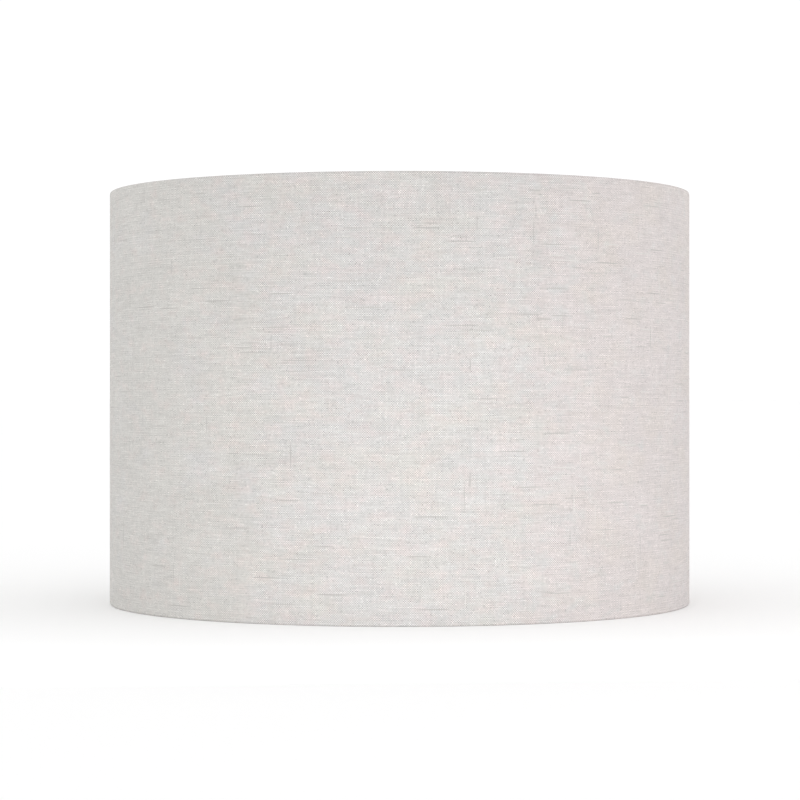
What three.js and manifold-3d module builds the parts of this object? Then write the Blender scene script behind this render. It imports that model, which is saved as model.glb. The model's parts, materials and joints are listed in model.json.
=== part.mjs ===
// Drum lamp shade. A linen cover is laminated on a stiff panel, and the two are rolled into a drum over a
// top and a bottom wire ring. Two spokes on the top ring carry a reversible gimbal: a wire bail that swings
// on the spokes' ends and holds the lampholder's carrier ring, with a loose reducer ring in it.
// Millimetres, +Z up. The drum stands on z = 0 with its axis on Z. Its seam is at the back, at +Y.

import * as THREE from "three";
import { mergeVertices } from "three/addons/utils/BufferGeometryUtils.js";
import Module from "manifold-3d";

const wasm = await Module();
wasm.setup();

// ---------------------------------------------------------------- driving dimensions

const SHADE_DIAMETER = 400;
const SHADE_HEIGHT = 282;

// Layers of the wall. Layers that are stuck together stand GLUE_GAP apart.
const FABRIC_THICKNESS = 0.5;
const PANEL_THICKNESS = 0.3;
const TAPE_THICKNESS = 0.15;
const GLUE_GAP = 0.05;

// Upright seam, where the end of the laminated sheet laps over its start.
const SEAM_ANGLE = Math.PI / 2;
const SEAM_OVERLAP = 12;
const SEAM_RAMP = 6;
const SEAM_TAPE_WIDTH = 8;

// Rolled edges. The cover's edge is tucked in under the ring, and is snipped where a spoke leaves it.
const HEM_TAIL = 0.5;
const HEM_ROOT = 0.3;
const PANEL_EDGE_CLEARANCE = 0.1;
const SNIP_SIDE_CLEARANCE = 0.4;
const SNIP_TOP_CLEARANCE = 0.2;

// One gauge of wire for the rings, the spokes and the bail.
const WIRE_DIAMETER = 2.5;
const WELD_GAP = 0.05;

// Spokes, cranked down from the top ring, so that all of the fitter is below the shade's top.
const SPOKE_STRAIGHT = 6;
const SPOKE_DROP = 12;
const SPOKE_BEND = 5;

// Pivots, where an eye on each bail wire turns on a spoke's end, between a crimp and an upset head.
const PIVOT_SPAN = 148;
const EYE_CLEARANCE = 0.3;
const EYE_SIDE_PLAY = 0.6;
const STOP_BITE = 0.4;
const HEAD_THICKNESS = 1.6;
const CRIMP_LENGTH = 3;
const CRIMP_THICKNESS = 1.5;

// Carrier ring, pressed from sheet, that hangs below the pivots on the bail.
const CARRIER_DROP = 42;
const CARRIER_BORE = 41;
const CARRIER_RIM_WIDTH = 7;
const CARRIER_THICKNESS = 1.2;
const CARRIER_LIP_DEPTH = 4;
const BAIL_NECK = 6;
const BAIL_BEND = 5;
const BAIL_FOOT_INSET = 4.5;
const BAIL_FOOT_RUN = 5;

// Reducer ring, moulded, that drops into the carrier ring's bore.
const REDUCER_BORE = 29;
const REDUCER_FLANGE_WIDTH = 4.5;
const REDUCER_FLANGE_THICKNESS = 1.6;
const REDUCER_SPIGOT_DEPTH = 7;
const REDUCER_SPIGOT_WALL = 1.6;
const REDUCER_CLEARANCE = 0.3;

// Fineness. SIDES is a multiple of 4, so that the drum's box is exactly its diameter.
const SIDES = 60;
const COLLAR_SIDES = 48;
const WIRE_SIDES = 12;
const WIRE_STEPS = 26;
const EYE_STEPS = 20;

// ---------------------------------------------------------------- derived dimensions

const WIRE_RADIUS = WIRE_DIAMETER / 2;
const FACET = (2 * Math.PI) / SIDES;

// Radii of the faces in the wall, from outside in.
const COVER_OUTSIDE = SHADE_DIAMETER / 2;
const COVER_INSIDE = COVER_OUTSIDE - FABRIC_THICKNESS;
const PANEL_OUTSIDE = COVER_INSIDE - GLUE_GAP;
const PANEL_INSIDE = PANEL_OUTSIDE - PANEL_THICKNESS;

// Layers round a ring's wire, as distances of their flats from the wire's centre.
const TAPE_INNER_FLAT = WIRE_RADIUS + GLUE_GAP;
const TAPE_OUTER_FLAT = TAPE_INNER_FLAT + TAPE_THICKNESS;
const HEM_INNER_FLAT = TAPE_OUTER_FLAT + GLUE_GAP;
const HEM_OUTER_FLAT = HEM_INNER_FLAT + FABRIC_THICKNESS;

const RING_RADIUS = PANEL_INSIDE - HEM_INNER_FLAT;
// Where a spoke's flat end meets the ring. The ring's inner face falls back from its corner beside the spoke.
const SPOKE_END = RING_RADIUS - WIRE_RADIUS * (1 + Math.tan(FACET / 2)) - WELD_GAP;
const BOTTOM_RING_HEIGHT = HEM_OUTER_FLAT;
const TOP_RING_HEIGHT = SHADE_HEIGHT - HEM_OUTER_FLAT;
const PIVOT_HEIGHT = TOP_RING_HEIGHT - SPOKE_DROP;

// How far the seam lifts the lapping end of the sheet, and the angles of the seam.
const SEAM_LIFT = COVER_OUTSIDE - PANEL_INSIDE + TAPE_THICKNESS + 2 * GLUE_GAP;
const HALF_LAP = SEAM_OVERLAP / 2 / COVER_OUTSIDE;
const RAMP = SEAM_RAMP / COVER_OUTSIDE;

const PIVOT_X = PIVOT_SPAN / 2;
const EYE_RADIUS = 2 * WIRE_RADIUS + EYE_CLEARANCE;
const STOP_RADIUS = WIRE_RADIUS + EYE_CLEARANCE + STOP_BITE;

const CARRIER_INSIDE = CARRIER_BORE / 2;
const CARRIER_OUTSIDE = CARRIER_INSIDE + CARRIER_RIM_WIDTH;
const CARRIER_TOP = -CARRIER_DROP;
const CARRIER_UNDERSIDE = CARRIER_TOP - CARRIER_THICKNESS;

// ---------------------------------------------------------------- solids

// A closed geometry as a manifold-3d solid, and back.
function solidOf(geometry) {
  const bare = geometry.clone().deleteAttribute("normal").deleteAttribute("uv");
  const merged = mergeVertices(bare, 1e-4);
  return new wasm.Manifold(
    new wasm.Mesh({
      numProp: 3,
      vertProperties: merged.attributes.position.array,
      triVerts: new Uint32Array(merged.index.array),
    }),
  );
}

function geometryOf(solid) {
  const mesh = solid.getMesh();
  const geometry = new THREE.BufferGeometry();
  geometry.setAttribute("position", new THREE.BufferAttribute(mesh.vertProperties, 3));
  geometry.setIndex(new THREE.BufferAttribute(mesh.triVerts, 1));
  return geometry.toNonIndexed();
}

function joined(...geometries) {
  return geometryOf(geometries.map(solidOf).reduce((all, next) => all.add(next)));
}

function cut(geometry, ...cutters) {
  return geometryOf(cutters.map(solidOf).reduce((rest, next) => rest.subtract(next), solidOf(geometry)));
}

// A closed profile of [radius, height] points, counter-clockwise, turned round the Z axis.
function turned(profile, sides) {
  const points = [...profile, profile[0]].map(([radius, height]) => new THREE.Vector2(radius, height));
  return new THREE.LatheGeometry(points, sides).rotateX(Math.PI / 2);
}

// A rod along X from one x to another, centred on Y and Z.
function rodAlongX(radius, from, to, sides) {
  const rod = new THREE.CylinderGeometry(radius, radius, to - from, sides);
  return rod.rotateZ(Math.PI / 2).translate((from + to) / 2, 0, 0);
}

// A round wire through a list of points, with straight runs and rounded bends. bend is the length that each
// bend takes from the runs beside it.
function bentWire(points, bend) {
  const toward = (from, to) => to.clone().sub(from).setLength(bend).add(from);
  const route = new THREE.CurvePath();
  let start = points[0];
  for (let i = 1; i < points.length - 1; i += 1) {
    const before = toward(points[i], points[i - 1]);
    const after = toward(points[i], points[i + 1]);
    route.add(new THREE.LineCurve3(start, before));
    route.add(new THREE.QuadraticBezierCurve3(before, points[i], after));
    start = after;
  }
  route.add(new THREE.LineCurve3(start, points[points.length - 1]));
  const section = new THREE.Shape().absarc(0, 0, WIRE_RADIUS, 0, 2 * Math.PI);
  return new THREE.ExtrudeGeometry(section, {
    steps: WIRE_STEPS,
    curveSegments: WIRE_SIDES / 2,
    extrudePath: route,
  });
}

// ---------------------------------------------------------------- drum outline

// Radius, at an angle, of a regular outline with SIDES corners at cornerRadius. The turned pieces have the
// same corners, so every layer of the wall has parallel facets.
function facetRadius(cornerRadius, angle) {
  const fromMiddle = (((angle % FACET) + FACET) % FACET) - FACET / 2;
  return (cornerRadius * Math.cos(FACET / 2)) / Math.cos(fromMiddle);
}

// How far out the sheet stands at a turn round the drum, counted from the seam's middle.
function seamLift(turn) {
  const lapStart = 2 * Math.PI - HALF_LAP;
  const share = THREE.MathUtils.clamp((turn - lapStart + RAMP) / RAMP, 0, 1);
  return SEAM_LIFT * share;
}

// Plan of a layer, from one turn to another, with a point at each corner of the drum and at each extra turn.
function layerPlan(inside, outside, from, to, extraTurns) {
  const corners = Array.from({ length: SIDES + 1 }, (_, i) => i * FACET);
  const turns = [...new Set([from, ...corners, ...extraTurns, to])]
    .filter((turn) => turn >= from && turn <= to)
    .sort((a, b) => a - b);
  const at = (radius, turn) => {
    const angle = SEAM_ANGLE + turn;
    const r = facetRadius(radius, angle) + seamLift(turn);
    return new THREE.Vector2(r * Math.cos(angle), r * Math.sin(angle));
  };
  const outer = turns.map((turn) => at(outside, turn));
  const inner = turns.map((turn) => at(inside, turn)).reverse();
  return new THREE.Shape([...outer, ...inner]);
}

function standing(plan, bottom, top) {
  const layer = new THREE.ExtrudeGeometry(plan, { depth: top - bottom, bevelEnabled: false });
  return layer.translate(0, 0, bottom);
}

// A layer of the laminated sheet, once round the drum and over its own start.
function sheetLayer(inside, outside, bottom, top) {
  const lapStart = 2 * Math.PI - HALF_LAP;
  const plan = layerPlan(inside, outside, -HALF_LAP, 2 * Math.PI + HALF_LAP, [lapStart - RAMP, lapStart]);
  return standing(plan, bottom, top);
}

// ---------------------------------------------------------------- rings and rolled edges

// Sections round a ring's wire are eight-sided, with flats at the top, bottom and sides. Corner 0 is the
// first above the outer flat, and the corners go over the top to the inside. end is 1 for the top ring
// and -1 for the bottom ring, whose sections are upside down.
function sectionCorner(flat, corner, height, end) {
  const angle = ((corner + 0.5) * Math.PI) / 4;
  const reach = flat / Math.cos(Math.PI / 8);
  return [RING_RADIUS + reach * Math.cos(angle), height + end * reach * Math.sin(angle)];
}

// Section corners from one to another, in either order.
function sectionArc(flat, first, last, height, end) {
  const step = Math.sign(last - first);
  const count = Math.abs(last - first) + 1;
  return Array.from({ length: count }, (_, i) => sectionCorner(flat, first + i * step, height, end));
}

function turnedSection(profile, end) {
  return turned(end > 0 ? profile : [...profile].reverse(), SIDES);
}

function wireRing(height) {
  return turnedSection(sectionArc(WIRE_RADIUS, 0, 7, height, 1), 1);
}

// Tape round a ring's wire, open on the flat that faces down and out.
function ringTape(height, end) {
  const outer = sectionArc(TAPE_OUTER_FLAT, -1, 6, height, end);
  const inner = sectionArc(TAPE_INNER_FLAT, 6, -1, height, end);
  return turnedSection([...outer, ...inner], end);
}

// Rolled edge of the cover: from the wall, over the ring, and back under it to a tucked tail. A thin root
// goes down into the wall and stops short of the panel.
function rolledEdge(height, end) {
  const rootInset = FABRIC_THICKNESS / 4;
  const rootEnd = height - end * HEM_ROOT;
  const profile = [
    [COVER_OUTSIDE, height],
    ...sectionArc(HEM_OUTER_FLAT, 0, 5, height, end),
    [RING_RADIUS + HEM_TAIL, height - end * HEM_OUTER_FLAT],
    [RING_RADIUS + HEM_TAIL, height - end * HEM_INNER_FLAT],
    ...sectionArc(HEM_INNER_FLAT, 5, 0, height, end),
    [COVER_INSIDE, height],
    [COVER_INSIDE + rootInset, height],
    [COVER_INSIDE + rootInset, rootEnd],
    [COVER_OUTSIDE - rootInset, rootEnd],
    [COVER_OUTSIDE - rootInset, height],
  ];
  return turnedSection(profile, end);
}

// Cutter for the snip in the top rolled edge, at the spoke on side 1 (+X) or -1 (-X).
function snip(side) {
  const inside = RING_RADIUS - 2 * HEM_OUTER_FLAT;
  const below = -2 * HEM_OUTER_FLAT;
  const above = WIRE_RADIUS + SNIP_TOP_CLEARANCE;
  const outline = [
    [inside, below],
    [RING_RADIUS + HEM_INNER_FLAT - GLUE_GAP, below],
    [RING_RADIUS + HEM_INNER_FLAT - GLUE_GAP, -WIRE_RADIUS],
    [RING_RADIUS - GLUE_GAP, -WIRE_RADIUS],
    [RING_RADIUS - GLUE_GAP, above],
    [inside, above],
  ];
  const width = WIRE_DIAMETER + 2 * SNIP_SIDE_CLEARANCE;
  const shape = new THREE.Shape(outline.map(([x, z]) => new THREE.Vector2(x, z)));
  const cutter = new THREE.ExtrudeGeometry(shape, { depth: width, bevelEnabled: false });
  cutter.translate(0, 0, -width / 2).rotateX(Math.PI / 2).translate(0, 0, TOP_RING_HEIGHT);
  return side > 0 ? cutter : cutter.rotateZ(Math.PI);
}

// ---------------------------------------------------------------- wall

function linenCover() {
  const whole = joined(
    sheetLayer(COVER_INSIDE, COVER_OUTSIDE, BOTTOM_RING_HEIGHT, TOP_RING_HEIGHT),
    rolledEdge(TOP_RING_HEIGHT, 1),
    rolledEdge(BOTTOM_RING_HEIGHT, -1),
  );
  return cut(whole, snip(1), snip(-1));
}

const PANEL_BOTTOM = BOTTOM_RING_HEIGHT + HEM_ROOT + PANEL_EDGE_CLEARANCE;
const PANEL_TOP = TOP_RING_HEIGHT - HEM_ROOT - PANEL_EDGE_CLEARANCE;

function stiffPanel() {
  return sheetLayer(PANEL_INSIDE, PANEL_OUTSIDE, PANEL_BOTTOM, PANEL_TOP);
}

function seamTape() {
  const halfWidth = SEAM_TAPE_WIDTH / 2 / COVER_OUTSIDE;
  const inside = COVER_OUTSIDE + GLUE_GAP;
  const plan = layerPlan(inside, inside + TAPE_THICKNESS, -halfWidth, halfWidth, []);
  return standing(plan, PANEL_BOTTOM, PANEL_TOP);
}

// ---------------------------------------------------------------- gimbal

// A spoke on the +X side. Its outer end is welded to the ring. An upset head and a crimp keep the bail's
// eye on its inner end.
function spoke() {
  const crankStart = SPOKE_END - SPOKE_STRAIGHT;
  const crimpInner = PIVOT_X + WIRE_RADIUS + EYE_SIDE_PLAY;
  const headOuter = PIVOT_X - WIRE_RADIUS - EYE_SIDE_PLAY;
  const headInner = headOuter - HEAD_THICKNESS;
  const wire = bentWire(
    [
      new THREE.Vector3(SPOKE_END, 0, SPOKE_DROP),
      new THREE.Vector3(crankStart, 0, SPOKE_DROP),
      new THREE.Vector3(crankStart - SPOKE_DROP, 0, 0),
      new THREE.Vector3(headInner + HEAD_THICKNESS / 2, 0, 0),
    ],
    SPOKE_BEND,
  );
  const crimp = new THREE.BoxGeometry(CRIMP_LENGTH, 2 * STOP_RADIUS, CRIMP_THICKNESS);
  return joined(
    wire,
    rodAlongX(STOP_RADIUS, headInner, headOuter, WIRE_SIDES),
    crimp.translate(crimpInner + CRIMP_LENGTH / 2, 0, 0),
  );
}

// A bail wire on the +X side: an eye round the pivot, a straight neck, and a leg that slants in to a foot
// welded under the carrier ring's rim.
function bailWire() {
  const footHeight = CARRIER_UNDERSIDE - WELD_GAP - WIRE_RADIUS;
  const leg = bentWire(
    [
      new THREE.Vector3(PIVOT_X, 0, -EYE_RADIUS),
      new THREE.Vector3(PIVOT_X, 0, -EYE_RADIUS - BAIL_NECK),
      new THREE.Vector3(CARRIER_OUTSIDE + BAIL_FOOT_RUN, 0, footHeight),
      new THREE.Vector3(CARRIER_OUTSIDE - BAIL_FOOT_INSET, 0, footHeight),
    ],
    BAIL_BEND,
  );
  const eye = new THREE.TorusGeometry(EYE_RADIUS, WIRE_RADIUS, WIRE_SIDES, EYE_STEPS);
  return joined(leg, eye.rotateY(Math.PI / 2).translate(PIVOT_X, 0, 0));
}

// A flat rim with its inner edge turned down into a short lip.
function carrierRing() {
  const lipOutside = CARRIER_INSIDE + CARRIER_THICKNESS;
  const lipBottom = CARRIER_TOP - CARRIER_LIP_DEPTH;
  const profile = [
    [CARRIER_INSIDE, lipBottom],
    [lipOutside, lipBottom],
    [lipOutside, CARRIER_UNDERSIDE],
    [CARRIER_OUTSIDE, CARRIER_UNDERSIDE],
    [CARRIER_OUTSIDE, CARRIER_TOP],
    [CARRIER_INSIDE, CARRIER_TOP],
  ];
  return turned(profile, COLLAR_SIDES);
}

// A flange that rests on the carrier ring, with a spigot down its bore.
function reducerRing() {
  const spigotOutside = CARRIER_INSIDE - REDUCER_CLEARANCE;
  const spigotInside = spigotOutside - REDUCER_SPIGOT_WALL;
  const flangeOutside = CARRIER_INSIDE + REDUCER_FLANGE_WIDTH;
  const seat = CARRIER_TOP + GLUE_GAP;
  const flangeTop = seat + REDUCER_FLANGE_THICKNESS;
  const spigotBottom = seat - REDUCER_SPIGOT_DEPTH;
  const profile = [
    [REDUCER_BORE / 2, seat],
    [spigotInside, seat],
    [spigotInside, spigotBottom],
    [spigotOutside, spigotBottom],
    [spigotOutside, seat],
    [flangeOutside, seat],
    [flangeOutside, flangeTop],
    [REDUCER_BORE / 2, flangeTop],
  ];
  return turned(profile, COLLAR_SIDES);
}

// ---------------------------------------------------------------- assembly

const LINEN = new THREE.MeshStandardMaterial({ color: 0xdcd8d4, roughness: 0.92, metalness: 0 });
const PANEL = new THREE.MeshStandardMaterial({ color: 0xf2f1ec, roughness: 0.45, metalness: 0 });
const TAPE = new THREE.MeshStandardMaterial({ color: 0xe6e2d2, roughness: 0.6, metalness: 0 });
const COATED_STEEL = new THREE.MeshStandardMaterial({ color: 0xf0efeb, roughness: 0.35, metalness: 0 });
const MOULDED = new THREE.MeshStandardMaterial({ color: 0xf4f3ef, roughness: 0.4, metalness: 0 });

function piece(parent, name, geometry, material) {
  const mesh = new THREE.Mesh(geometry, material);
  mesh.name = name;
  parent.add(mesh);
  return mesh;
}

const shade = new THREE.Group();
piece(shade, "linen_cover", linenCover(), LINEN);
piece(shade, "stiff_panel", stiffPanel(), PANEL);
piece(shade, "seam_tape", seamTape(), TAPE);
piece(shade, "top_ring", wireRing(TOP_RING_HEIGHT), COATED_STEEL);
piece(shade, "bottom_ring", wireRing(BOTTOM_RING_HEIGHT), COATED_STEEL);
piece(shade, "top_ring_tape", cut(ringTape(TOP_RING_HEIGHT, 1), snip(1), snip(-1)), TAPE);
piece(shade, "bottom_ring_tape", ringTape(BOTTOM_RING_HEIGHT, -1), TAPE);

// The fitter's group has its origin on the pivot axis, half way between the pivots.
const fitter = new THREE.Group();
fitter.position.z = PIVOT_HEIGHT;
shade.add(fitter);
for (const [side, turn] of [["right", 0], ["left", Math.PI]]) {
  piece(fitter, `${side}_spoke`, spoke(), COATED_STEEL).rotation.z = turn;
  piece(fitter, `${side}_bail_wire`, bailWire(), COATED_STEEL).rotation.z = turn;
}
piece(fitter, "carrier_ring", carrierRing(), COATED_STEEL);
piece(fitter, "reducer_ring", reducerRing(), MOULDED);

export default shade;
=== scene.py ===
import json
import math

import bmesh
import bpy
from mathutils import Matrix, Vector


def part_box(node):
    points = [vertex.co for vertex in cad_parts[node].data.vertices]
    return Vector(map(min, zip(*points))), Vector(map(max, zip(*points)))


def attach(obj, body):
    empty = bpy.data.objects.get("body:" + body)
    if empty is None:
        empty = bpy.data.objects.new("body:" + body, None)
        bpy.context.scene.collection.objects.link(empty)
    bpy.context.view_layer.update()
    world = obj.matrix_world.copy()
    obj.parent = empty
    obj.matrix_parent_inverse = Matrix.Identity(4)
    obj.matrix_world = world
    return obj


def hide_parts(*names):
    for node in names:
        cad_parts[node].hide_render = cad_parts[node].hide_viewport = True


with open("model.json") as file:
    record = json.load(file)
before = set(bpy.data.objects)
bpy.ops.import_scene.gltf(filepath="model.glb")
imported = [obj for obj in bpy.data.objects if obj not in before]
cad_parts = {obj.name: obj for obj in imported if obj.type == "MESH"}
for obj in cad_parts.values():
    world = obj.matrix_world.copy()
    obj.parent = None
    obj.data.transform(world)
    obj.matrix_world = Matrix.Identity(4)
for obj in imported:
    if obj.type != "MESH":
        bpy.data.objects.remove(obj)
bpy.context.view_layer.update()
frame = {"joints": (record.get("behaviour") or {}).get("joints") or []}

# A drum lamp shade in linen, standing on a pale studio floor. Lengths are in metres, in the frame of the
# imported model. The rings, layers and wires take their sizes from that model. Each section is drawn as
# (distance from the drum's axis, height), and is swept round the drum.

MM = 0.001


# ---------------------------------------------------------------- sizes

def size_of_ring(node):
    """Radius and height of a ring's centre line, and the radius of its wire."""
    low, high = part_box(node)
    wire = (high.z - low.z) / 2
    return high.x - wire, (low.z + high.z) / 2, wire


COVER_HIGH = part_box("linen_cover")[1]
PANEL_LOW, PANEL_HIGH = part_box("stiff_panel")
DRUM_RADIUS = COVER_HIGH.x
DRUM_HEIGHT = COVER_HIGH.z
RING_RADIUS, TOP_RING_Z, WIRE_RADIUS = size_of_ring("top_ring")
BOTTOM_RING_Z = size_of_ring("bottom_ring")[1]

CLOTH = 0.5 * MM
PANEL = 0.3 * MM
TAPE = 0.15 * MM
GLUE = 0.05 * MM
PANEL_RADIUS = DRUM_RADIUS - CLOTH - GLUE

# Radii of the layers round a ring's wire, at the middle of each layer.
EDGE_TAPE_RADIUS = WIRE_RADIUS + GLUE + TAPE / 2
HEM_RADIUS = WIRE_RADIUS + 2 * GLUE + TAPE + CLOTH / 2
TAIL_ANGLE = math.radians(-68)
EDGE_SQUARE = 4.0  # 2 would roll the outer edge as round as the ring; more presses it squarer

# Upright seam at the back. Turns are angles counted from its middle.
SEAM_ANGLE = math.pi / 2
HALF_LAP = 6 * MM / DRUM_RADIUS
LAP_RAMP = 6 * MM / DRUM_RADIUS
LAP_LIFT = CLOTH + PANEL + TAPE + 3 * GLUE
WANDER = 0.12 * MM  # how far the glued layers stray from a true circle
HALF_TAPE = 4 * MM / DRUM_RADIUS
FULL_TURN = 2 * math.pi

# Fitter. The head, crimp, crank, neck, foot, rim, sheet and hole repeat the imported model's sizes. The dome,
# ramps, bail's bend, eye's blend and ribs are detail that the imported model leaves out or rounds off.
HEAD_LENGTH = 1.6 * MM
DOME_LENGTH = 0.9 * MM
CRIMP_GAP = 0.6 * MM
CRIMP_LENGTH = 3 * MM
CRIMP_RAMP = 0.6 * MM
CRIMP_HALF_HEIGHT = 0.75 * MM
SPOKE_CRANK_START = 18 * MM
SPOKE_CRANK_END = 6 * MM
SPOKE_BEND = 5 * MM
BAIL_BEND = 4.5 * MM
BAIL_FOOT_RUN = 5 * MM
BAIL_NECK = 6 * MM
EYE_BLEND = 1.2 * MM
CARRIER_RIM = 7 * MM
CARRIER_SHEET = 1.2 * MM
REDUCER_HOLE = 14.5 * MM
REDUCER_WALL = 1.6 * MM
REDUCER_SPIGOT = 20.2 * MM
RIB_COUNT = 8
RIB_WIDTH = 1.0 * MM
RIB_SINK = 0.2 * MM
RIB_CLEAR = 1.5 * MM

# Snip in the top rolled edge, round a spoke.
SNIP_SIDE_GAP = 0.4 * MM
SNIP_TOP_GAP = 0.2 * MM
SNIP_DEPTH = 4 * MM

PIVOT = Vector(next(j["pos_m"] for j in frame["joints"] if j["name"] == "gimbal_flip"))
PIVOT_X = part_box("right_bail_wire")[1].x - WIRE_RADIUS

# Weave. One thread is this wide, in both directions. Tones are shares of the cloth's brightness.
THREAD = 0.745 * MM
SWAY = 0.8 * MM
WEFT_RUN, WARP_RUN, BAND_RUN = 17 * MM, 16 * MM, 30 * MM  # how far a thread or a band keeps its tone
CHECK_TONE = 0.44
ROW_SHARE = 0.12
PATCH_LOW, PATCH_HIGH = 0.1, 1.0
# Painted shade in the gap beside each thread, as a share of the cloth's brightness.
PAINTED_GAP_SHADE = 0.35
WEFT_TONE = 0.48
WARP_TONE = 0.19
WEFT_BAND_TONE = 0.12
WARP_BAND_TONE = 0.08
CLOUD_TONE = 0.12
KNOT_SHARE = 0.012
KNOT_TONE = 0.16
GRAIN_TONE = 0.13
# Ends of the linen's tint. The pinkish end and the yellow cast also stand in for painted light: pinker on the
# lit right of the drum, creamier on its shaded left.
GREEN_LINEN = (0.571, 0.561, 0.547, 1.0)
PINK_LINEN_AND_PAINTED_LIGHT = (0.602, 0.556, 0.542, 1.0)
YELLOW_CAST_AND_PAINTED_CREAM = (1.0, 0.996, 0.978, 1.0)
BLUE_CAST = (0.998, 1.0, 1.010, 1.0)


# ---------------------------------------------------------------- node trees

class Nodes:
    """Short ways to add and join the nodes of one tree."""

    def __init__(self, tree):
        self.tree = tree

    def add(self, kind, values=None, **settings):
        node = self.tree.nodes.new(kind)
        for name, value in settings.items():
            setattr(node, name, value)
        for socket, value in (values or {}).items():
            self.feed(node.inputs[socket], value)
        return node

    def feed(self, socket, value):
        if isinstance(value, bpy.types.NodeSocket):
            self.tree.links.new(value, socket)
        else:
            socket.default_value = value

    def math(self, operation, *values, clamp=False):
        node = self.add("ShaderNodeMath", dict(enumerate(values)), operation=operation, use_clamp=clamp)
        return node.outputs[0]

    def vector(self, x=0.0, y=0.0, z=0.0):
        return self.add("ShaderNodeCombineXYZ", {"X": x, "Y": y, "Z": z}).outputs[0]

    def vector_math(self, operation, *values):
        node = self.add("ShaderNodeVectorMath", dict(enumerate(values)), operation=operation)
        return node.outputs["Value" if operation in ("DOT_PRODUCT", "LENGTH") else "Vector"]

    def scaled(self, vector, factor):
        node = self.add("ShaderNodeVectorMath", {0: vector}, operation="SCALE")
        self.feed(node.inputs["Scale"], factor)
        return node.outputs[0]

    def ramp(self, value, low, high, to_low=0.0, to_high=1.0):
        """A smooth change from to_low, where value is low, to to_high, where it is high."""
        sockets = {
            "Value": value, "From Min": low, "From Max": high, "To Min": to_low, "To Max": to_high,
        }
        return self.add("ShaderNodeMapRange", sockets, interpolation_type="SMOOTHSTEP").outputs[0]

    def noise(self, vector, scale, detail=2.0, roughness=0.5):
        sockets = {"Vector": vector, "Scale": scale, "Detail": detail, "Roughness": roughness}
        return self.add("ShaderNodeTexNoise", sockets).outputs[0]


def wear(mesh, material):
    """Gives the whole mesh this one material."""
    mesh.materials.clear()
    mesh.materials.append(material)
    mesh.polygons.foreach_set("material_index", [0] * len(mesh.polygons))


class GeometryTree(Nodes):
    """A Geometry Nodes tree with named inputs, and what turns its result into a plain mesh."""

    def __init__(self, name, **inputs):
        super().__init__(bpy.data.node_groups.new(name, "GeometryNodeTree"))
        interface = self.tree.interface
        interface.new_socket(name="Geometry", in_out="OUTPUT", socket_type="NodeSocketGeometry")
        interface.new_socket(name="Geometry", in_out="INPUT", socket_type="NodeSocketGeometry")
        for title, kind in inputs.items():
            interface.new_socket(name=title, in_out="INPUT", socket_type="NodeSocket" + kind)
        interface.new_socket(name="Material", in_out="INPUT", socket_type="NodeSocketMaterial")
        self.group_input = self.tree.nodes.new("NodeGroupInput")

    def input(self, name):
        return self.group_input.outputs[name]

    def attribute(self, name, kind="FLOAT"):
        return self.add("GeometryNodeInputNamedAttribute", {"Name": name}, data_type=kind).outputs[0]

    def store(self, geometry, name, value, kind="FLOAT", domain="POINT"):
        sockets = {"Geometry": geometry, "Name": name, "Value": value}
        node = self.add("GeometryNodeStoreNamedAttribute", sockets, data_type=kind, domain=domain)
        return node.outputs[0]

    def move(self, geometry, offset):
        return self.add("GeometryNodeSetPosition", {"Geometry": geometry, "Offset": offset}).outputs[0]

    def end(self, geometry, smooth=True):
        shaded = self.add("GeometryNodeSetShadeSmooth", {"Geometry": geometry, "Shade Smooth": smooth})
        whole = self.add("GeometryNodeRealizeInstances", {"Geometry": shaded.outputs[0]})
        sockets = {"Geometry": whole.outputs[0], "Material": self.input("Material")}
        coloured = self.add("GeometryNodeSetMaterial", sockets)
        output = self.tree.nodes.new("NodeGroupOutput")
        self.tree.links.new(coloured.outputs[0], output.inputs[0])

    def make(self, name, mesh, material, **values):
        """A plain mesh object: the tree's result for this mesh and these values."""
        source = bpy.data.objects.new(name + "_source", mesh)
        bpy.context.scene.collection.objects.link(source)
        modifier = source.modifiers.new("shape", "NODES")
        modifier.node_group = self.tree
        values["Material"] = material
        for item in self.tree.interface.items_tree:
            if item.in_out == "INPUT" and item.name in values:
                modifier[item.identifier] = values[item.name]
        shaped = source.evaluated_get(bpy.context.evaluated_depsgraph_get())
        result = bpy.data.meshes.new_from_object(shaped)
        bpy.data.objects.remove(source)
        wear(result, material)
        piece = bpy.data.objects.new(name, result)
        bpy.context.scene.collection.objects.link(piece)
        return piece


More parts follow.
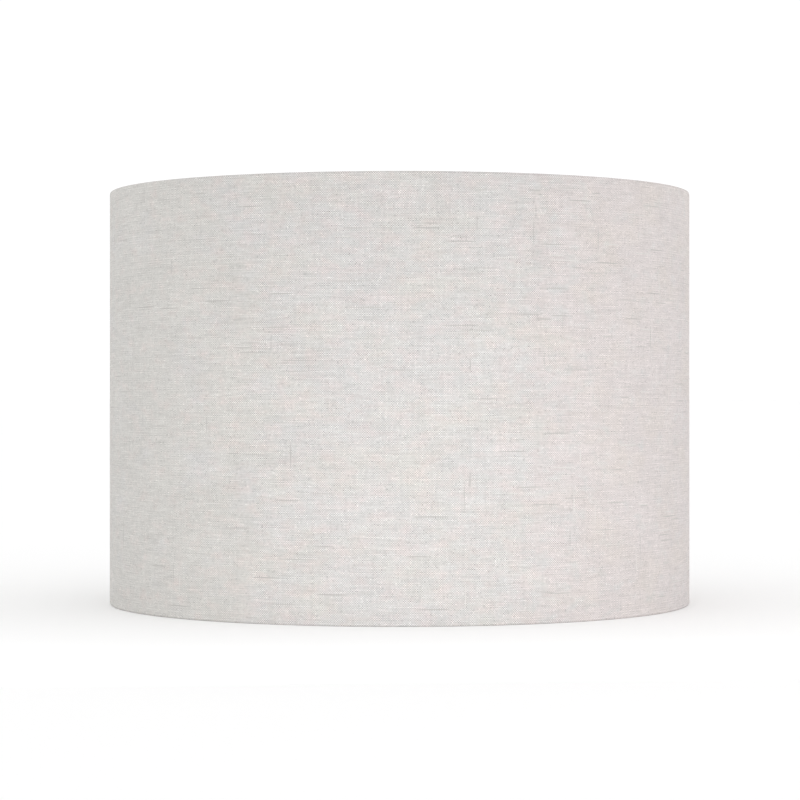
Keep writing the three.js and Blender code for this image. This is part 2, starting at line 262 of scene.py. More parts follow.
def round_sweep_tree():
    """Sweeps a closed section round the drum's axis, from one turn to another. The end of the sweep is lifted
    where it laps over its start, and soft edges pucker. Section points hold their distance from the axis and
    their height, the length across the sheet, and their shares of the lift and the pucker."""
    t = GeometryTree(
        "sweep_round_drum",
        Start="Float", Turn="Float", Steps="Int", Capped="Bool",
        Lift="Float", Lap="Float", Ramp="Float", Pucker="Float", Wander="Float",
    )
    line = t.add("GeometryNodeCurvePrimitiveLine")
    count = t.math("ADD", t.input("Steps"), 1)
    path = t.add("GeometryNodeResampleCurve", {"Curve": line.outputs[0], "Count": count}).outputs[0]
    turned = t.math("MULTIPLY", t.add("GeometryNodeSplineParameter").outputs["Factor"], t.input("Turn"))
    path = t.store(path, "turned", t.math("ADD", turned, t.input("Start")))
    section = t.add("GeometryNodeMeshToCurve", {"Mesh": t.input("Geometry")}).outputs[0]
    sockets = {"Curve": path, "Profile Curve": section, "Fill Caps": t.input("Capped")}
    swept = t.add("GeometryNodeCurveToMesh", sockets).outputs[0]

    # True place of each point before it is lifted or puckered.
    turned = t.attribute("turned")
    angle = t.math("ADD", turned, SEAM_ANGLE)
    out = t.vector(t.math("COSINE", angle), t.math("SINE", angle))
    reach, height = t.attribute("reach"), t.attribute("height")
    place = t.vector_math("ADD", t.scaled(out, reach), t.vector(0.0, 0.0, height))

    end = t.math("ADD", t.input("Turn"), t.input("Start"))
    lap_start = t.math("SUBTRACT", end, t.input("Lap"))
    ramp_start = t.math("SUBTRACT", lap_start, t.input("Ramp"))
    lift = t.math("MULTIPLY", t.ramp(turned, ramp_start, lap_start), t.input("Lift"))
    slow = t.math("MULTIPLY", t.math("SUBTRACT", t.noise(place, 9.0, detail=1.0), 0.5), t.input("Wander"))
    raised = t.math("MULTIPLY", t.math("ADD", lift, slow), t.attribute("lifts"))
    fine = t.math("SUBTRACT", t.noise(place, 160.0, detail=3.0), 0.5)
    pucker = t.math("MULTIPLY", t.math("MULTIPLY", fine, t.attribute("puckers")), t.input("Pucker"))
    shifted = t.scaled(out, t.math("ADD", raised, pucker))
    dropped = t.vector(0.0, 0.0, t.math("MULTIPLY", pucker, 0.6))
    place = t.vector_math("ADD", place, t.vector_math("ADD", shifted, dropped))
    swept = t.add("GeometryNodeSetPosition", {"Geometry": swept, "Position": place}).outputs[0]

    around = t.math("MULTIPLY", turned, DRUM_RADIUS)
    cloth_map = t.vector(around, t.attribute("across"))
    swept = t.store(swept, "cloth_map", cloth_map, kind="FLOAT2", domain="CORNER")
    t.end(t.add("GeometryNodeMergeByDistance", {"Geometry": swept, "Distance": MM / 1000}).outputs[0])
    return t


def bake_map_tree():
    """Lays cloth out flat in the unit square, as two strips of half its length each. Its outer face gets
    nearly all the room, and its hidden face a thin band above."""
    t = GeometryTree("cloth_laid_flat", Start="Float", Turn="Float", Width="Float")
    around, across, _ = t.add("ShaderNodeSeparateXYZ", {0: t.attribute("cloth_map", "FLOAT_VECTOR")}).outputs
    turned = t.math("DIVIDE", around, DRUM_RADIUS)
    outer = t.attribute("outer")

    def of_face(value):
        return t.add("GeometryNodeFieldOnDomain", {0: value}, domain="FACE", data_type="FLOAT").outputs[0]

    half_turn = t.math("DIVIDE", t.input("Turn"), 2.0)
    second = t.math("GREATER_THAN", of_face(turned), t.math("ADD", t.input("Start"), half_turn))
    strip_start = t.math("ADD", t.input("Start"), t.math("MULTIPLY", second, half_turn))
    along = t.math("DIVIDE", t.math("SUBTRACT", turned, strip_start), half_turn)
    share = t.math("DIVIDE", across, t.input("Width"))
    shown = t.math("ADD", t.math("MULTIPLY", share, 0.47), t.math("MULTIPLY", second, 0.48))
    column = t.math("ADD", outer, t.math("MULTIPLY", second, 2.5))
    hidden = t.math("MULTIPLY", t.math("ADD", share, column), 0.007)
    face_is_outer = t.math("GREATER_THAN", of_face(outer), 0.7)
    row = t.add("ShaderNodeMix", {0: face_is_outer, 2: t.math("ADD", hidden, 0.962), 3: shown}).outputs[0]
    flat_map = t.vector(t.math("MULTIPLY", along, 0.998), row)
    t.end(t.store(t.input("Geometry"), "OFBake", flat_map, kind="FLOAT2", domain="CORNER"))
    return t


def wire_tree():
    """A wire along a path. Its points hold its half width, and how far it is flattened."""
    t = GeometryTree("wire_along_path", Sides="Int")
    path = t.add("GeometryNodeMeshToCurve", {"Mesh": t.input("Geometry")}).outputs[0]
    circle = t.add("GeometryNodeCurvePrimitiveCircle", {"Resolution": t.input("Sides"), "Radius": 1.0})
    sockets = {
        "Curve": path, "Profile Curve": circle.outputs[0], "Fill Caps": True,
        "Scale": t.attribute("half_width"),
    }
    wire = t.add("GeometryNodeCurveToMesh", sockets).outputs[0]
    height = t.add("ShaderNodeSeparateXYZ", {0: t.add("GeometryNodeInputPosition").outputs[0]}).outputs[2]
    above = t.math("SUBTRACT", height, t.attribute("middle_height"))
    squeeze = t.math("MULTIPLY", above, t.math("SUBTRACT", t.attribute("flatness"), 1.0))
    t.end(t.move(wire, t.vector(0.0, 0.0, squeeze)))
    return t


def bead_tree():
    """Lumpy weld beads, one at each point of a mesh."""
    t = GeometryTree("weld_beads", Radius="Float", Lumps="Float", Seed="Int")
    ball = t.add("GeometryNodeMeshIcoSphere", {"Radius": t.input("Radius"), "Subdivisions": 4}).outputs[0]
    sockets = {2: 0.85, 3: 1.1, "Seed": t.input("Seed")}
    scale = t.add("FunctionNodeRandomValue", sockets).outputs[1]
    stretch = t.vector_math("MULTIPLY", t.attribute("stretch", "FLOAT_VECTOR"), t.vector(scale, scale, scale))
    sockets = {"Points": t.input("Geometry"), "Instance": ball, "Scale": stretch}
    beads = t.add("GeometryNodeInstanceOnPoints", sockets).outputs[0]
    beads = t.add("GeometryNodeRealizeInstances", {"Geometry": beads}).outputs[0]
    place = t.add("GeometryNodeInputPosition").outputs[0]
    lump = t.math("MULTIPLY", t.math("SUBTRACT", t.noise(place, 900.0), 0.5), t.input("Lumps"))
    normal = t.add("GeometryNodeInputNormal").outputs[0]
    t.end(t.move(beads, t.scaled(normal, lump)))
    return t


def rib_tree():
    """Copies of one rib, evenly spaced round the drum's axis. The rib stands on the X axis."""
    t = GeometryTree("ribs_round_axis", Count="Int")
    points = t.add("GeometryNodePoints", {"Count": t.input("Count")}).outputs[0]
    place_in_turn = t.math("ADD", t.add("GeometryNodeInputIndex").outputs[0], 0.5)
    angle = t.math("DIVIDE", t.math("MULTIPLY", place_in_turn, FULL_TURN), t.input("Count"))
    sockets = {
        "Points": points, "Instance": t.input("Geometry"), "Rotation": t.vector(0.0, 0.0, angle),
    }
    t.end(t.add("GeometryNodeInstanceOnPoints", sockets).outputs[0], smooth=False)
    return t


def slub_tree():
    """Thick places in the yarn: tapered strands, laid flat along the threads, then rolled onto the drum."""
    t = GeometryTree(
        "slubs_on_drum",
        Density="Float", Seed="Int", Radius="Float", Low="Float", Length="Float", Width="Float",
        Upright="Bool",
    )
    sockets = {"Mesh": t.input("Geometry"), "Density": t.input("Density"), "Seed": t.input("Seed")}
    points = t.add("GeometryNodeDistributePointsOnFaces", sockets).outputs[0]
    place = t.add("GeometryNodeInputPosition").outputs[0]
    thread_corner = t.vector_math("SNAP", place, (THREAD, THREAD, 1.0))
    middle = t.vector_math("ADD", thread_corner, (THREAD / 2, THREAD / 2, 0.0))
    points = t.add("GeometryNodeSetPosition", {"Geometry": points, "Position": middle}).outputs[0]

    def drawn(low, high, seed):
        sockets = {2: low, 3: high, "Seed": t.math("ADD", t.input("Seed"), seed)}
        return t.add("FunctionNodeRandomValue", sockets).outputs[1]

    points = t.store(points, "tone", drawn(0.0, 1.0, 1))
    strand = t.add("GeometryNodeMeshUVSphere", {"Segments": 6, "Rings": 10, "Radius": 1.0}).outputs[0]
    length = t.math("MULTIPLY", t.input("Length"), drawn(0.35, 1.0, 2))
    width = t.math("MULTIPLY", t.input("Width"), drawn(0.6, 1.0, 3))
    thick = t.math("MULTIPLY", width, 0.4)
    lying = {"Geometry": strand, "Rotation": (0.0, math.pi / 2, 0.0)}
    strand = t.add("GeometryNodeTransform", lying).outputs[0]
    turn = t.vector(0.0, 0.0, t.math("MULTIPLY", t.input("Upright"), math.pi / 2))
    sockets = {
        "Points": points, "Instance": strand, "Rotation": turn, "Scale": t.vector(length, width, thick),
    }
    strands = t.add("GeometryNodeInstanceOnPoints", sockets).outputs[0]
    strands = t.add("GeometryNodeRealizeInstances", {"Geometry": strands}).outputs[0]
    flat = t.add("ShaderNodeSeparateXYZ", {0: t.add("GeometryNodeInputPosition").outputs[0]}).outputs
    angle = t.math("ADD", t.math("DIVIDE", flat[0], t.input("Radius")), SEAM_ANGLE)
    reach = t.math("ADD", t.input("Radius"), flat[2])
    rolled = t.vector(
        t.math("MULTIPLY", reach, t.math("COSINE", angle)),
        t.math("MULTIPLY", reach, t.math("SINE", angle)),
        t.math("ADD", flat[1], t.input("Low")),
    )
    t.end(t.add("GeometryNodeSetPosition", {"Geometry": strands, "Position": rolled}).outputs[0])
    return t


# ---------------------------------------------------------------- sections and paths

def line_mesh(name, points, closed=False, **shares):
    """A mesh of one line of edges. Each of shares is an attribute with one number for each point."""
    mesh = bpy.data.meshes.new(name)
    edges = [(i, i + 1) for i in range(len(points) - 1)]
    if closed:
        edges.append((len(points) - 1, 0))
    mesh.from_pydata(points, edges, [])
    for title, numbers in shares.items():
        mesh.attributes.new(title, "FLOAT", "POINT").data.foreach_set("value", numbers)
    return mesh


def section_mesh(name, outline, **shares):
    """Closed outline of (distance, height), turned clockwise, as the sweep needs for outward faces. Shares
    that aren't given are nought."""
    count = len(outline)
    area = sum(a[0] * b[1] - b[0] * a[1] for a, b in zip(outline, outline[1:] + outline[:1]))
    way = -1 if area > 0 else 1
    titles = ("across", "lifts", "puckers", "outer")
    shares = {title: shares.get(title, [0.0] * count)[::way] for title in titles}
    outline = outline[::way]
    shares["reach"] = [p[0] for p in outline]
    shares["height"] = [p[1] for p in outline]
    return line_mesh(name, [(p[0], p[1], 0.0) for p in outline], closed=True, **shares)


def arc(centre, radius, start, end, steps):
    """Points on an arc, in (distance, height). radius is a length, or gives one for an angle."""
    reach = radius if callable(radius) else lambda angle: radius
    angles = [start + (end - start) * i / steps for i in range(steps + 1)]
    return [(centre[0] + reach(a) * math.cos(a), centre[1] + reach(a) * math.sin(a)) for a in angles]


def directions(points):
    """Unit direction of a line at each of its points."""
    found = []
    for i in range(len(points)):
        before = Vector(points[max(i - 1, 0)])
        after = Vector(points[min(i + 1, len(points) - 1)])
        found.append((after - before).normalized())
    return found


def strip_section(name, middle, thickness, lifts=1.0, puckers=0.0):
    """Closed section of a strip, such as cloth, from the line along its middle. lifts and puckers are one
    number for all, or one for each point of the line."""
    count = len(middle)
    lift = lifts if isinstance(lifts, list) else [lifts] * count
    pucker = puckers if isinstance(puckers, list) else [puckers] * count
    lengths = [0.0]
    for a, b in zip(middle, middle[1:]):
        lengths.append(lengths[-1] + (Vector(b) - Vector(a)).length)
    half = thickness / 2
    left, right = [], []
    for point, along in zip(middle, directions(middle)):
        side = Vector((-along.y, along.x)) * half
        left.append(Vector(point) + side)
        right.append(Vector(point) - side)
    start_tip = Vector(middle[0]) - directions(middle)[0] * half * 0.6
    end_tip = Vector(middle[-1]) + directions(middle)[-1] * half * 0.6
    outline = right + [end_tip] + left[::-1] + [start_tip]
    order = list(range(count)) + [count - 1] + list(range(count))[::-1] + [0]
    return section_mesh(
        name, outline,
        outer=[0.0] * count + [0.5] + [1.0] * count + [0.5],
        across=[lengths[i] for i in order],
        lifts=[lift[i] for i in order],
        puckers=[pucker[i] for i in order],
    )


def rounded(points, bend, steps=5, closed=False):
    """A line with its corners rounded. bend is the length that each takes from the lines beside it."""
    corners = [Vector(p) for p in points]
    count = len(corners)
    made = []
    for i, corner in enumerate(corners):
        if not closed and i in (0, count - 1):
            made.append(corner)
            continue
        before, after = corners[i - 1], corners[(i + 1) % count]
        start = corner + (before - corner).normalized() * bend
        end = corner + (after - corner).normalized() * bend
        for k in range(steps + 1):
            share = k / steps
            made.append(start * (1 - share) ** 2 + corner * 2 * share * (1 - share) + end * share ** 2)
    return made


def spaced(points, spacing):
    """The same line, with points evenly spaced along it."""
    made = [points[0]]
    for a, b in zip(points, points[1:]):
        parts = max(1, round((b - a).length / spacing))
        made += [a.lerp(b, k / parts) for k in range(1, parts + 1)]
    return made


def smooth_step(value, low, high):
    share = min(1.0, max(0.0, (value - low) / (high - low)))
    return share * share * (3 - 2 * share)


# ---------------------------------------------------------------- finishes

class Finish(Nodes):
    """A procedural material on a Principled shader."""

    def __init__(self, name, **constants):
        self.material = bpy.data.materials.new(name)
        self.material.use_nodes = True
        super().__init__(self.material.node_tree)
        self.shader = self.tree.nodes["Principled BSDF"]
        for title, value in constants.items():
            self.shader.inputs[title.replace("_", " ")].default_value = value

    def object_place(self):
        return self.add("ShaderNodeTexCoord").outputs["Object"]

    def cloth_place(self):
        return self.add("ShaderNodeUVMap", uv_map="cloth_map").outputs[0]

    def mix(self, share, low, high):
        colours = {0: share, 6: low, 7: high}
        return self.add("ShaderNodeMix", colours, data_type="RGBA").outputs[2]

    def stretched(self, place, x, y, z=1.0):
        return self.add("ShaderNodeMapping", {"Vector": place, "Scale": (x, y, z)}).outputs[0]

    def bump(self, height, depth):
        sockets = {"Height": height, "Distance": depth, "Strength": 1.0}
        self.feed(self.shader.inputs["Normal"], self.add("ShaderNodeBump", sockets).outputs[0])


def thread_tone(f, along, across, length, seed):
    """Tone of each thread, which drifts over this length along it. across counts the threads."""
    row = f.math("FLOOR", across)
    where = f.vector(f.math("DIVIDE", along, length), f.math("MULTIPLY", row, 7.31), seed)
    return f.math("SUBTRACT", f.noise(where, 1.0, detail=4.0, roughness=0.6), 0.5)


def natural_linen():
    """Plain weave of a pale warp and a greyer weft, with painted shade in the gap beside each thread. Each
    crossing shows one of them, the tone of each yarn drifts along it, and single crossings are thick and pale
    or dark. The tint drifts at random between a cool grey and a pinkish one, and carries painted light: it is
    painted pinker on the right of the drum, where the side light falls, and creamier on its shaded left."""
    f = Finish("natural_linen", Roughness=0.92, Sheen_Weight=0.12, Sheen_Roughness=0.6)
    f.shader.inputs["Specular IOR Level"].default_value = 0.2
    place = f.cloth_place()
    sway = f.math("MULTIPLY", f.math("SUBTRACT", f.noise(place, 18.0), 0.5), SWAY)
    u, v, _ = f.add("ShaderNodeSeparateXYZ", {0: place}).outputs
    warp_count = f.math("DIVIDE", f.math("ADD", u, sway), THREAD)
    weft_count = f.math("DIVIDE", f.math("ADD", v, sway), THREAD)

    # Waves over the threads: their product is one check for each crossing.
    columns = f.math("SINE", f.math("MULTIPLY", warp_count, math.pi))
    rows = f.math("SINE", f.math("MULTIPLY", weft_count, math.pi))
    crossing = f.math("MULTIPLY", columns, rows)
    patch = f.ramp(f.noise(place, 160.0, detail=4.0, roughness=0.6), 0.32, 0.62, PATCH_LOW, PATCH_HIGH)
    weave = f.math("MULTIPLY", f.math("ADD", crossing, f.math("MULTIPLY", rows, ROW_SHARE)), patch)

    # Round top of the thread that is uppermost, used for the bump, and painted shade in the gap beside it.
    warp_on_top = f.ramp(crossing, -0.2, 0.2)
    thread_top = f.add("ShaderNodeMix", {
        0: warp_on_top, 2: f.math("ABSOLUTE", rows), 3: f.math("ABSOLUTE", columns),
    }).outputs[0]

    tones = (
        (weave, CHECK_TONE),
        (f.math("SUBTRACT", thread_top, 2 / math.pi), PAINTED_GAP_SHADE),
        (thread_tone(f, u, weft_count, WEFT_RUN, 1.0), WEFT_TONE),
        (thread_tone(f, v, warp_count, WARP_RUN, 2.0), WARP_TONE),
        (thread_tone(f, u, f.math("DIVIDE", weft_count, 3.0), BAND_RUN, 3.0), WEFT_BAND_TONE),
        (thread_tone(f, v, f.math("DIVIDE", warp_count, 4.0), BAND_RUN, 4.0), WARP_BAND_TONE),
        (f.math("SUBTRACT", f.noise(place, 30.0, detail=4.0, roughness=0.6), 0.5), CLOUD_TONE),
    )
    tone = 1.0
    for part, amount in tones:
        tone = f.math("ADD", tone, f.math("MULTIPLY", part, amount))

    # Thick crossings.
    cell = f.vector(f.math("FLOOR", warp_count), f.math("FLOOR", weft_count))
    chance = f.add("ShaderNodeTexWhiteNoise", {"Vector": cell}, noise_dimensions="2D").outputs["Value"]
    pale = f.math("GREATER_THAN", chance, 1 - KNOT_SHARE)
    dark = f.math("LESS_THAN", chance, KNOT_SHARE)
    knot = f.math("MULTIPLY", f.math("SUBTRACT", pale, dark), KNOT_TONE)
    grain = f.math("MULTIPLY", f.math("SUBTRACT", chance, 0.5), GRAIN_TONE)
    tone = f.math("ADD", tone, f.math("ADD", knot, grain))

    # Drift of the tint: random blotches between a grey and a pinkish linen, and painted light. Cloth at the
    # right of the drum, where the side light falls, is painted pinker, and at the shaded left it is painted
    # creamier.
    side = f.add("ShaderNodeSeparateXYZ", {0: f.object_place()}).outputs[0]
    painted_pink_right = f.math("ADD", f.ramp(side, 0.04, 0.15, -0.03, 0.18), f.ramp(side, -0.18, -0.06, -0.09, 0.0))
    painted_cream_left = f.ramp(side, -0.17, -0.03, -0.16, 0.06)
    blotch = f.noise(f.stretched(place, 80.0, 110.0), 1.0, detail=4.0, roughness=0.6)
    pink_dye_and_painted_light = f.ramp(f.math("ADD", blotch, painted_pink_right), 0.34, 0.70)
    tint = f.mix(pink_dye_and_painted_light, GREEN_LINEN, PINK_LINEN_AND_PAINTED_LIGHT)
    drift = f.noise(f.stretched(place, 24.0, 34.0), 1.0, detail=3.0, roughness=0.6)
    yellow_cast_and_painted_cream = f.ramp(f.math("ADD", drift, painted_cream_left), 0.34, 0.66)
    tint = f.vector_math("MULTIPLY", tint, f.mix(yellow_cast_and_painted_cream, YELLOW_CAST_AND_PAINTED_CREAM, BLUE_CAST))
    f.feed(f.shader.inputs["Base Color"], f.scaled(tint, tone))
    f.bump(thread_top, 0.06 * MM)
    return f.material


def slub_yarn():
    """The same yarn where it is thick, paler or darker than the cloth."""
    f = Finish("slub_yarn", Roughness=0.9, Sheen_Weight=0.12)
    f.shader.inputs["Specular IOR Level"].default_value = 0.2
    tone = f.add("ShaderNodeAttribute", attribute_name="tone").outputs["Fac"]
    fibre = f.noise(f.stretched(f.object_place(), 900.0, 900.0, 2500.0), 1.0)
    pale = f.mix(f.ramp(tone, 0.2, 0.8), (0.48, 0.465, 0.45, 1.0), (0.68, 0.66, 0.64, 1.0))
    f.feed(f.shader.inputs["Base Color"], f.scaled(pale, f.math("ADD", f.math("MULTIPLY", fibre, 0.2), 0.9)))
    f.bump(fibre, 0.03 * MM)
    return f.material


def frosted_panel():
    """Stiff white sheet with a fine frosted face and faint scuffs from rolling."""
    f = Finish("frosted_panel")
    place = f.object_place()
    cloud = f.noise(place, 14.0, detail=3.0)
    grain = f.noise(place, 2600.0)
    scuff = f.ramp(f.noise(f.stretched(place, 30.0, 30.0, 420.0), 1.0, detail=4.0), 0.62, 0.72)
    f.feed(f.shader.inputs["Base Color"], f.mix(cloud, (0.87, 0.868, 0.85, 1.0), (0.91, 0.908, 0.89, 1.0)))
    rough = f.math("ADD", f.math("MULTIPLY", grain, 0.1), 0.45)
    rough = f.math("SUBTRACT", rough, f.math("MULTIPLY", scuff, 0.12))
    f.feed(f.shader.inputs["Roughness"], rough)
    f.bump(f.math("ADD", grain, f.math("MULTIPLY", cloud, 3.0)), 0.01 * MM)
    return f.material


def adhesive_tape():
    """Cream tissue tape with fibres in it."""
    f = Finish("adhesive_tape")
    place = f.object_place()
    fibres = f.noise(f.stretched(place, 300.0, 300.0, 1800.0), 1.0, detail=4.0)
    f.feed(f.shader.inputs["Base Color"], f.mix(fibres, (0.70, 0.66, 0.52, 1.0), (0.86, 0.83, 0.72, 1.0)))
    f.feed(f.shader.inputs["Roughness"], f.ramp(fibres, 0.3, 0.7, 0.45, 0.7))
    f.bump(fibres, 0.02 * MM)
    return f.material


def white_powder_coat():
    """Baked coat with a fine orange-peel skin, and slightly thinner where it has rubbed."""
    f = Finish("white_powder_coat", Coat_Weight=0.15, Coat_Roughness=0.25)
    place = f.object_place()
    peel = f.noise(place, 1500.0, detail=2.0)
    rubbed = f.ramp(f.noise(place, 90.0, detail=4.0, roughness=0.7), 0.6, 0.75)
    f.feed(f.shader.inputs["Base Color"], f.mix(rubbed, (0.87, 0.865, 0.84, 1.0), (0.79, 0.785, 0.765, 1.0)))
    f.feed(f.shader.inputs["Roughness"], f.math("ADD", f.math("MULTIPLY", peel, 0.18), 0.26))
    f.bump(peel, 0.02 * MM)
    return f.material


def moulded_plastic():
    """Satin moulded plastic, with faint flow marks and a fine grain."""
    f = Finish("moulded_plastic")
    place = f.object_place()
    flow = f.noise(f.stretched(place, 60.0, 60.0, 200.0), 1.0, detail=3.0)
    grain = f.noise(place, 3000.0)
    f.feed(f.shader.inputs["Base Color"], f.mix(flow, (0.87, 0.865, 0.84, 1.0), (0.93, 0.925, 0.905, 1.0)))
    f.feed(f.shader.inputs["Roughness"], f.math("ADD", f.math("MULTIPLY", grain, 0.12), 0.3))
    f.bump(grain, 0.01 * MM)
    return f.material


LINEN = natural_linen()
SLUB = slub_yarn()
PANEL_FINISH = frosted_panel()
TAPE_FINISH = adhesive_tape()
COATED = white_powder_coat()
MOULDED = moulded_plastic()

ROUND_SWEEP = round_sweep_tree()
LAID_FLAT = bake_map_tree()
WIRE = wire_tree()
BEADS = bead_tree()
RIBS = rib_tree()
SLUBS = slub_tree()


# ---------------------------------------------------------------- wall

def place_piece(piece, body, slot, *nodes):
    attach(piece, body)
    if nodes:
        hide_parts(*nodes)
    return piece


def sweep(name, section, material, start=0.0, turn=FULL_TURN, steps=600, **values):
    """A section swept round the drum. A whole turn closes on itself, unless values say that it is capped."""
    capped = values.pop("Capped", turn != FULL_TURN)
    settings = {"Lift": 0.0, "Lap": 0.0, "Ramp": LAP_RAMP, "Pucker": 0.0, "Wander": 0.0, **values}
    return ROUND_SWEEP.make(
        name, section, material, Start=start, Turn=turn, Steps=steps, Capped=capped,
        **settings,
    )


def cover_middle():
    """Line along the middle of the cover's thickness, from its tail under the top ring, over the ring, down
    the wall and round the bottom ring, with the shares of lift and pucker at each point."""
    wall = DRUM_RADIUS - CLOTH / 2
    spare = wall - RING_RADIUS - HEM_RADIUS

    def hem_reach(angle):
        reach = HEM_RADIUS + spare * (1 - smooth_step(angle, 0.0, math.pi / 2))
        if angle > math.pi / 2:
            return reach
        return reach / (math.cos(angle) ** EDGE_SQUARE + math.sin(angle) ** EDGE_SQUARE) ** (1 / EDGE_SQUARE)

    tail = TAIL_ANGLE + FULL_TURN
    top = arc((RING_RADIUS, TOP_RING_Z), hem_reach, tail, 0.0, 26)
    wall_rows = 14
    step = (TOP_RING_Z - BOTTOM_RING_Z) / wall_rows
    down = [(wall, TOP_RING_Z - step * i) for i in range(1, wall_rows)]
    bottom = [(x, TOP_RING_Z + BOTTOM_RING_Z - z) for x, z in reversed(top)]
    hem_angles = [tail - tail * i / 26 for i in range(27)]
    hem_lifts = [1 - smooth_step(a, 0.1, math.pi / 2) for a in hem_angles]
    hem_puckers = [smooth_step(a, 0.6 * math.pi, tail) for a in hem_angles]
    lifts = hem_lifts + [1.0] * len(down) + hem_lifts[::-1]
    puckers = hem_puckers + [0.0] * len(down) + hem_puckers[::-1]
    return top + down + bottom, lifts, puckers


def snip_cutter(side):
    """Cutter for the snip in the top rolled edge, where a spoke leaves the ring."""
    half_width = WIRE_RADIUS + SNIP_SIDE_GAP
    low = Vector((RING_RADIUS - SNIP_DEPTH, -half_width, TOP_RING_Z - SNIP_DEPTH))
    high = Vector((RING_RADIUS - GLUE, half_width, TOP_RING_Z + WIRE_RADIUS + SNIP_TOP_GAP))
    mesh = bpy.data.meshes.new("snip")
    shape = bmesh.new()
    bmesh.ops.create_cube(shape, size=1.0)
    for vertex in shape.verts:
        vertex.co = Vector([(a + b) / 2 + c * (b - a) for a, b, c in zip(low, high, vertex.co)])
        vertex.co.x *= side
        vertex.co.y *= side
    bmesh.ops.bevel(
        shape, geom=shape.edges[:], offset=SNIP_SIDE_GAP, segments=3, profile=0.5, affect="EDGES",
    )
    shape.to_mesh(mesh)
    shape.free()
    cutter = bpy.data.objects.new("snip", mesh)
    bpy.context.scene.collection.objects.link(cutter)
    return cutter


def cut_snips(piece):
    """Cuts both snips, and leaves a plain mesh."""
    cutters = [snip_cutter(1), snip_cutter(-1)]
    for cutter in cutters:
        modifier = piece.modifiers.new("snip", "BOOLEAN")
        modifier.operation = "DIFFERENCE"
        modifier.solver = "MANIFOLD"
        modifier.object = cutter
    shaped = piece.evaluated_get(bpy.context.evaluated_depsgraph_get())
    piece_mesh = bpy.data.meshes.new_from_object(shaped)
    piece.modifiers.clear()
    wear(piece_mesh, piece.data.materials[0])
    piece.data = piece_mesh
    for cutter in cutters:
        bpy.data.objects.remove(cutter)


def joined(first, *others):
    """One object of several plain ones."""
    with bpy.context.temp_override(active_object=first, selected_editable_objects=[first, *others]):
        bpy.ops.object.join()
    return first


def make_cover():
    middle, lifts, puckers = cover_middle()
    section = strip_section("cover_section", middle, CLOTH, lifts, puckers)
    slit = 0.3 * MM / DRUM_RADIUS
    cover = sweep(
        "bare_cover", section, LINEN, start=HALF_LAP, turn=FULL_TURN - slit, Capped=True,
        Lift=LAP_LIFT, Lap=2 * HALF_LAP, Pucker=0.5 * MM, Wander=WANDER,
    )
    cut_snips(cover)
    wall = DRUM_RADIUS - CLOTH / 2
    underlap_middle = [(wall, TOP_RING_Z), (wall, BOTTOM_RING_Z)]
    underlap_section = strip_section("underlap_section", underlap_middle, CLOTH)
    underlap = sweep("underlap", underlap_section, LINEN, start=-HALF_LAP, turn=2 * HALF_LAP, steps=8)
    bare = joined(cover, underlap)
    width = sum((Vector(b) - Vector(a)).length for a, b in zip(middle, middle[1:]))
    turn = FULL_TURN + 2 * HALF_LAP
    cover = LAID_FLAT.make("cloth_cover", bare.data, LINEN, Start=-HALF_LAP, Turn=turn, Width=width)
    bpy.data.objects.remove(bare)
    return place_piece(cover, "shade", "linen", "linen_cover"), (width, turn * DRUM_RADIUS)


def make_slubs(name, density, length, width, seed, upright):
    """Slubs over the cover's outer face, clear of the seam and the rolled edges."""
    margin = 6 * MM
    low = BOTTOM_RING_Z + margin
    tall = TOP_RING_Z - margin - low
    start = (HALF_LAP + LAP_RAMP) * DRUM_RADIUS + 2 * length
    end = FULL_TURN * DRUM_RADIUS - start
    mesh = bpy.data.meshes.new(name + "_flat")
    inset = length if upright else 0.0
    mesh.from_pydata(
        [(start, inset, 0), (end, inset, 0), (end, tall - inset, 0), (start, tall - inset, 0)],
        [], [(0, 1, 2, 3)],
    )
    slubs = SLUBS.make(
        name, mesh, SLUB, Density=density, Seed=seed, Radius=DRUM_RADIUS, Low=low, Length=length,
        Width=width, Upright=upright,
    )
    return place_piece(slubs, "shade", "linen")


def make_panel():
    radius = PANEL_RADIUS - PANEL / 2
    rows = 6
    step = (PANEL_HIGH.z - PANEL_LOW.z) / rows
    middle = [(radius, PANEL_HIGH.z - step * i) for i in range(rows + 1)]
    section = strip_section("panel_section", middle, PANEL)
    panel = sweep(
        "rolled_panel", section, PANEL_FINISH, start=-HALF_LAP, turn=FULL_TURN + 2 * HALF_LAP,
        Capped=True, Lift=LAP_LIFT, Lap=2 * HALF_LAP, Wander=WANDER,
    )
    return place_piece(panel, "shade", "panel", "stiff_panel")


def make_seam_tape():
    radius = DRUM_RADIUS + GLUE + TAPE / 2
    section = strip_section("seam_tape_section", [(radius, PANEL_HIGH.z), (radius, PANEL_LOW.z)], TAPE)
    tape = sweep("lap_tape", section, TAPE_FINISH, start=-HALF_TAPE, turn=2 * HALF_TAPE, steps=6)
    return place_piece(tape, "shade", "tape", "seam_tape")


def make_ring(name, node, tape_name, tape_node, height, end):
    """A ring's wire, and the tape that is wrapped round it. end is 1 at the top and -1 at the bottom."""
    circle = arc((RING_RADIUS, height), WIRE_RADIUS, 0.0, -FULL_TURN, 20)[:-1]
    ring = sweep(name, section_mesh(name + "_section", circle), COATED, steps=360)
    place_piece(ring, "shade", "coated_wire", node)
    tape_start, tape_end = end * math.radians(290), -end * math.radians(20)
    middle = arc((RING_RADIUS, height), EDGE_TAPE_RADIUS, tape_start, tape_end, 26)
    tape = sweep(tape_name, strip_section(tape_name + "_section", middle, TAPE), TAPE_FINISH, steps=360)
    if end > 0:
        cut_snips(tape)
    place_piece(tape, "shade", "tape", tape_node)


# ---------------------------------------------------------------- fitter

def wire_piece(name, points, material, half_widths=None, flatness=None):
    count = len(points)
    mesh = line_mesh(
        name + "_path", [tuple(p) for p in points],
        half_width=half_widths or [WIRE_RADIUS] * count,
        flatness=flatness or [1.0] * count,
        middle_height=[p.z for p in points],
    )
    return WIRE.make(name, mesh, material, Sides=20)


